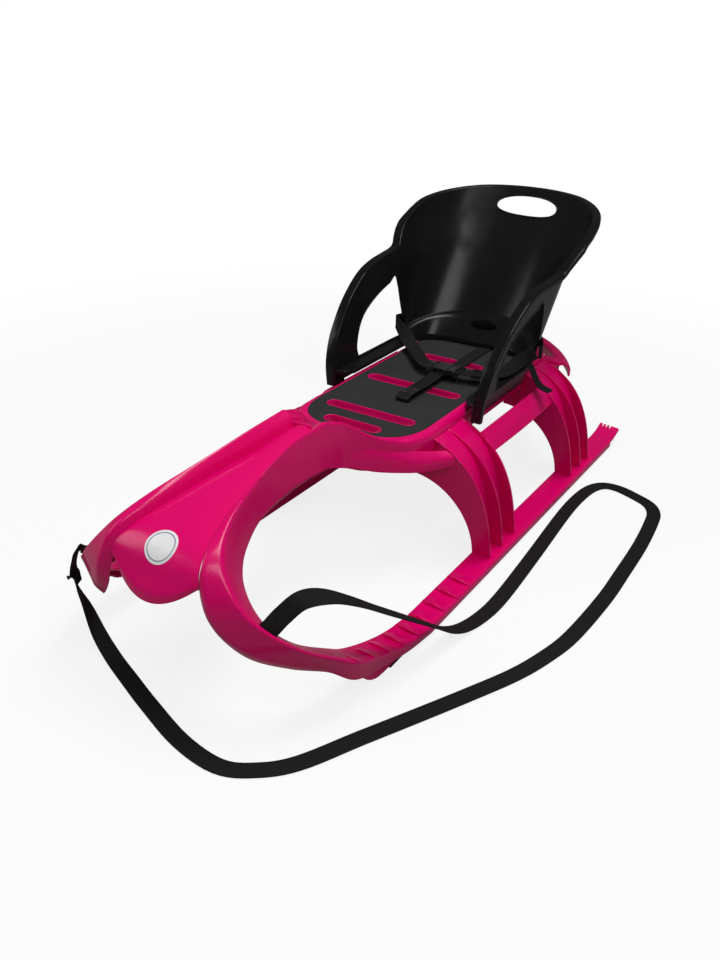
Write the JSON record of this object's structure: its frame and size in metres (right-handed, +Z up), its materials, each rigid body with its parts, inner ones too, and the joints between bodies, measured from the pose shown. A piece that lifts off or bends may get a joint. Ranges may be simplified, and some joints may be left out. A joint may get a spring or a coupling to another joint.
{
  "type": "plastic sled",
  "caption": "Moulded horn sled with steel shod runners, a screwed on child backrest, a harness with a side release buckle and a flat pull strap.",
  "frame": {"origin": "on the ground under the middle of the sled's length and width, without the pull strap", "axes": "+Z up, -Y the riding direction, +X the rider's left"},
  "size_m": [0.6432, 1.2044, 0.5012],
  "materials": {
    "pink_plastic": "glossy moulded polypropylene",
    "black_plastic": "glossy moulded polypropylene",
    "pad_rubber": "matte foam rubber with a fine grain",
    "webbing": "woven polyester webbing",
    "buckle_plastic": "satin acetal",
    "rail_steel": "dark rolled steel"
  },
  "bodies": {
    "sled": {"moulded_deck": "pink_plastic", "side_frame_left": "pink_plastic", "side_frame_right": "pink_plastic", "seat_pad": "pad_rubber", "seat_shell": "black_plastic", "runner_rail_left": "rail_steel", "runner_rail_right": "rail_steel", "rail_screw_left_front": "rail_steel", "rail_screw_left_rear": "rail_steel", "rail_screw_right_front": "rail_steel", "rail_screw_right_rear": "rail_steel", "seat_screw": "rail_steel", "seat_nut": "rail_steel", "lap_strap_left": "webbing", "lap_strap_right": "webbing", "lap_strap_rear": "webbing", "lap_strap_tail_left": "webbing", "crotch_strap": "webbing", "pull_strap": "webbing", "strap_stop_left": "buckle_plastic", "strap_stop_right": "buckle_plastic", "buckle_socket": "buckle_plastic", "buckle_tongue": "buckle_plastic"},
    "prong_front": {"buckle_prong_front": "buckle_plastic"},
    "prong_rear": {"buckle_prong_rear": "buckle_plastic"},
    "slider": {"strap_slider": "buckle_plastic"}
  },
  "joints": [
    {"name": "prong_front_press", "type": "slide", "parent": "sled", "child": "prong_front", "axis": [0, 1, 0], "range_m": [0, 0.0023], "stiffness_N_per_m": 300},
    {"name": "prong_rear_press", "type": "slide", "parent": "sled", "child": "prong_rear", "axis": [0, -1, 0], "range_m": [0, 0.0023], "stiffness_N_per_m": 300},
    {"name": "slider_travel", "type": "slide", "parent": "sled", "child": "slider", "axis": [0.9397, 0.342, 0], "range_m": [-0.01, 0.01]}
  ],
  "couplings": [
    {"joint": "prong_rear_press", "follows": "prong_front_press", "ratio": 1}
  ]
}
